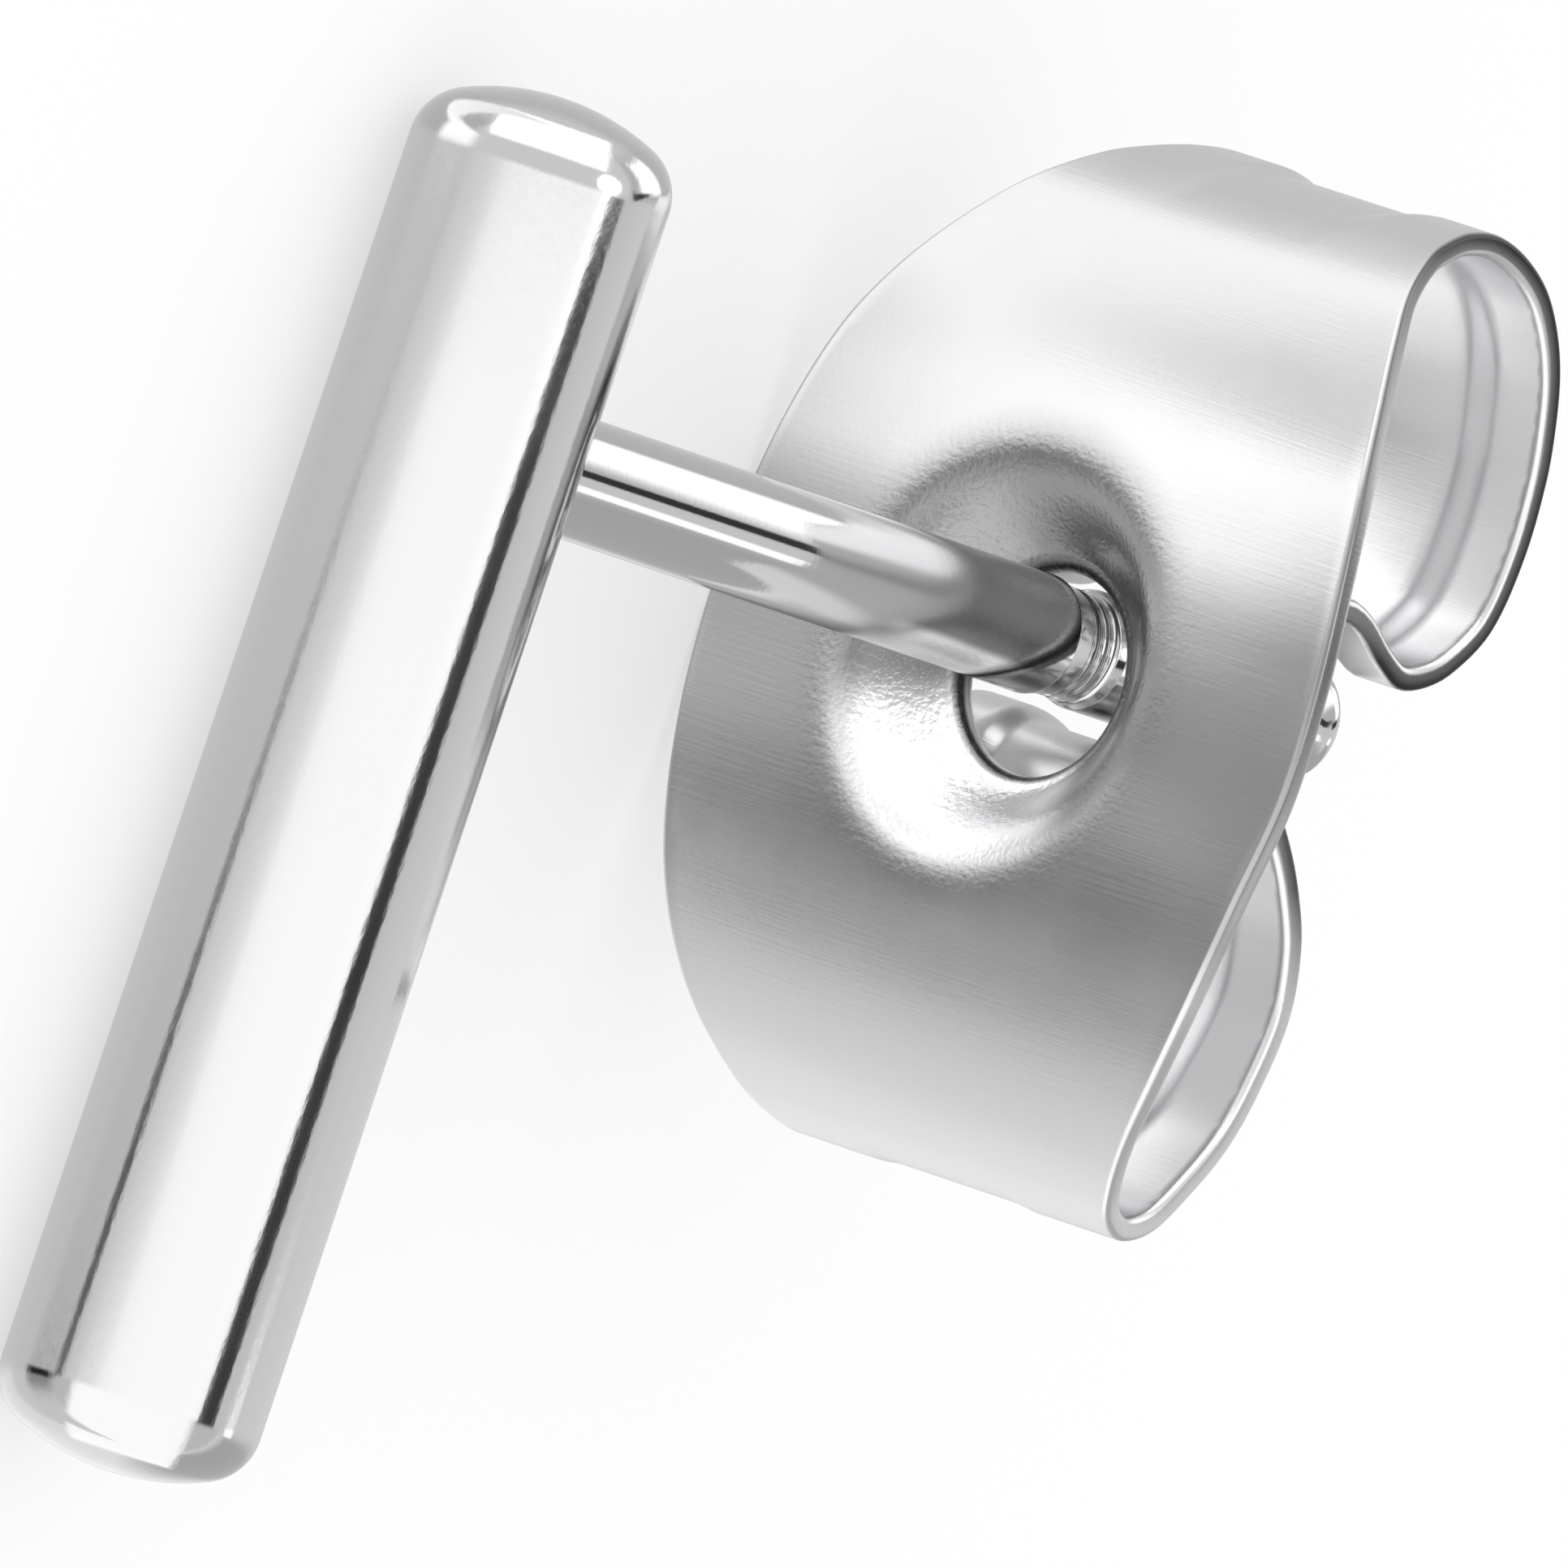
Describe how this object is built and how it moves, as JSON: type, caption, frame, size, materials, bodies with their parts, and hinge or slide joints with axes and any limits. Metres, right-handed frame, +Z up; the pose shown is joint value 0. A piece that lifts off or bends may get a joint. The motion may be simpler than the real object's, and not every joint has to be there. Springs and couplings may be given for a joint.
{
  "type": "bar earring",
  "caption": "Unworn stud earring: a round steel bar on a thin post, with a butterfly clutch bent from sheet on the post. It lies on its side.",
  "frame": {"origin": "middle of the earring's outline on the floor it lies on", "axes": "+X along the bar towards its long end, +Z up from the floor, -Y towards the bar, with the post rising gently towards +Y and the clutch"},
  "size_m": [0.0102, 0.0094, 0.005],
  "materials": {
    "polished_steel": "mirror polish with very fine lines along the bar",
    "satin_steel": "satin sheet with fine lines across it, grained round the dimple"
  },
  "bodies": {
    "stud": {"bar_with_post": "polished_steel"},
    "clutch": {"butterfly_clutch": "satin_steel"}
  },
  "joints": [
    {"name": "clutch_slide", "type": "slide", "parent": "stud", "child": "clutch", "axis": [0, 0.9555, 0.295], "range_m": [-0.0044, 0.005]}
  ]
}
